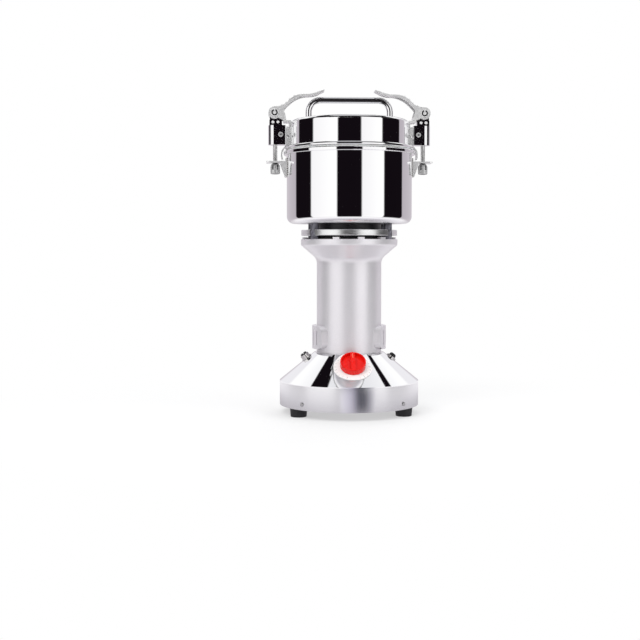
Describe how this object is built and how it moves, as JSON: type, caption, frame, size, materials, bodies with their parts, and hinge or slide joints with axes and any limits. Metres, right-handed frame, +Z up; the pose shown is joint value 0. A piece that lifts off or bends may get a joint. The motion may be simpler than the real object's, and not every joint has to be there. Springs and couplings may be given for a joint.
{
  "type": "electric grain mill",
  "caption": "Upright electric grain mill: polished bowl with a lid held by side clamps, on a motor column and round base with a timer knob.",
  "frame": {"origin": "on the floor under the middle of the object, on the motor axis", "axes": "+Z up along the motor axis, -Y the front with the knob, X through the two lid clamps"},
  "size_m": [0.212, 0.179, 0.4122],
  "materials": {
    "polished_steel": "mirror-polished stainless steel, satin on the base ring",
    "bright_bar": "polished stainless bar",
    "clamp_steel": "polished stainless sheet and block",
    "threaded_steel": "plain steel, threaded",
    "plate_steel": "polished thick plate",
    "plain_steel": "zinc-plated or plain steel",
    "blade_steel": "ground stainless",
    "housing_paint": "fine metallic silver paint",
    "bridge_casting": "die-cast aluminium",
    "foot_rubber": "black rubber",
    "post_rubber": "dark grey rubber",
    "seal_rubber": "pale silicone rubber",
    "hub_dark": "dark moulded plastic",
    "knob_red": "glossy red plastic",
    "dial_pale": "pale printed dial",
    "black_plastic": "black plastic",
    "button_black": "glossy black plastic",
    "fitting_metal": "nickel plate",
    "terminal_cream": "cream plastic",
    "lamination": "stacked electrical steel",
    "copper_wire": "enamelled copper wire",
    "copper_bar": "bare copper",
    "carbon": "carbon",
    "brass": "brass"
  },
  "bodies": {
    "root": {"base_cover": "polished_steel", "bowl": "polished_steel", "bowl_brackets": "clamp_steel", "mounting_plate": "plate_steel", "bottom_plate": "plain_steel", "foot_screws": "plain_steel", "ring_screws": "plain_steel", "housing_screws": "plain_steel", "post_bolts": "plain_steel", "bearings": "plain_steel", "motor_housing": "housing_paint", "brush_covers": "housing_paint", "bearing_bridge": "bridge_casting", "feet": "foot_rubber", "isolator_posts": "post_rubber", "neck_gasket": "post_rubber", "shaft_seal": "seal_rubber", "bowl_hub": "hub_dark", "dial_plate": "dial_pale", "fuse_cap": "black_plastic", "cord_gland": "black_plastic", "timer_body": "black_plastic", "reset_switch": "black_plastic", "fuse_holder": "fitting_metal", "timer_nut": "fitting_metal", "terminal_block": "terminal_cream", "stator_core": "lamination", "stator_windings": "copper_wire", "carbon_brushes": "carbon", "brush_holders": "brass"},
    "rotor": {"motor_shaft": "plain_steel", "armature_core": "lamination", "armature_windings": "copper_wire", "commutator": "copper_bar", "cooling_fan": "black_plastic", "lower_blade": "blade_steel", "blade_spacer": "plain_steel", "upper_blade": "blade_steel", "blade_nut": "plain_steel"},
    "knob": {"knob": "knob_red", "timer_shaft": "fitting_metal"},
    "reset_button": {"reset_button": "button_black"},
    "lid": {"lid": "polished_steel", "lid_seal": "seal_rubber", "lid_handle": "bright_bar", "handle_flanges": "bright_bar", "lid_brackets": "clamp_steel"},
    "clamp_left": {"clamp_rod_left": "threaded_steel", "clamp_nut_left": "threaded_steel", "clamp_block_left": "clamp_steel", "clamp_screw_left": "threaded_steel"},
    "clamp_right": {"clamp_rod_right": "threaded_steel", "clamp_nut_right": "threaded_steel", "clamp_block_right": "clamp_steel", "clamp_screw_right": "threaded_steel"},
    "lever_left": {"clamp_lever_left": "clamp_steel", "lever_pin_left": "clamp_steel"},
    "lever_right": {"clamp_lever_right": "clamp_steel", "lever_pin_right": "clamp_steel"}
  },
  "joints": [
    {"name": "lever_left_turn", "type": "hinge", "parent": "clamp_left", "child": "lever_left", "pos_m": [-0.0955, 0, 0.383], "axis": [0, -1, 0], "range_deg": [0, 120]},
    {"name": "lever_right_turn", "type": "hinge", "parent": "clamp_right", "child": "lever_right", "pos_m": [0.0955, 0, 0.383], "axis": [0, 1, 0], "range_deg": [0, 120]},
    {"name": "clamp_left_swing", "type": "hinge", "parent": "root", "child": "clamp_left", "pos_m": [-0.0947, 0, 0.31451], "axis": [0, -1, 0], "range_deg": [0, 36]},
    {"name": "clamp_right_swing", "type": "hinge", "parent": "root", "child": "clamp_right", "pos_m": [0.0947, 0, 0.31451], "axis": [0, 1, 0], "range_deg": [0, 36]},
    {"name": "lid_lift", "type": "slide", "parent": "root", "child": "lid", "axis": [0, 0, 1], "range_m": [0, 0.028]},
    {"name": "rotor_spin", "type": "hinge", "parent": "root", "child": "rotor", "pos_m": [0, 0, 0.15], "axis": [0, 0, 1], "continuous": true},
    {"name": "knob_turn", "type": "hinge", "parent": "root", "child": "knob", "pos_m": [0, -0.06102, 0.06504], "axis": [0, 0.6289, -0.7774], "range_deg": [0, 300]},
    {"name": "reset_press", "type": "slide", "parent": "root", "child": "reset_button", "axis": [-0.6289, 0, -0.7774], "range_m": [0, 0.0025], "stiffness_N_per_m": 400}
  ],
  "couplings": [
    {"joint": "lever_left_turn", "follows": "lid_lift", "rad_per_m": 74.8},
    {"joint": "lever_right_turn", "follows": "lid_lift", "rad_per_m": 74.8},
    {"joint": "clamp_left_swing", "follows": "lid_lift", "rad_per_m": 22.44},
    {"joint": "clamp_right_swing", "follows": "lid_lift", "rad_per_m": 22.44}
  ]
}
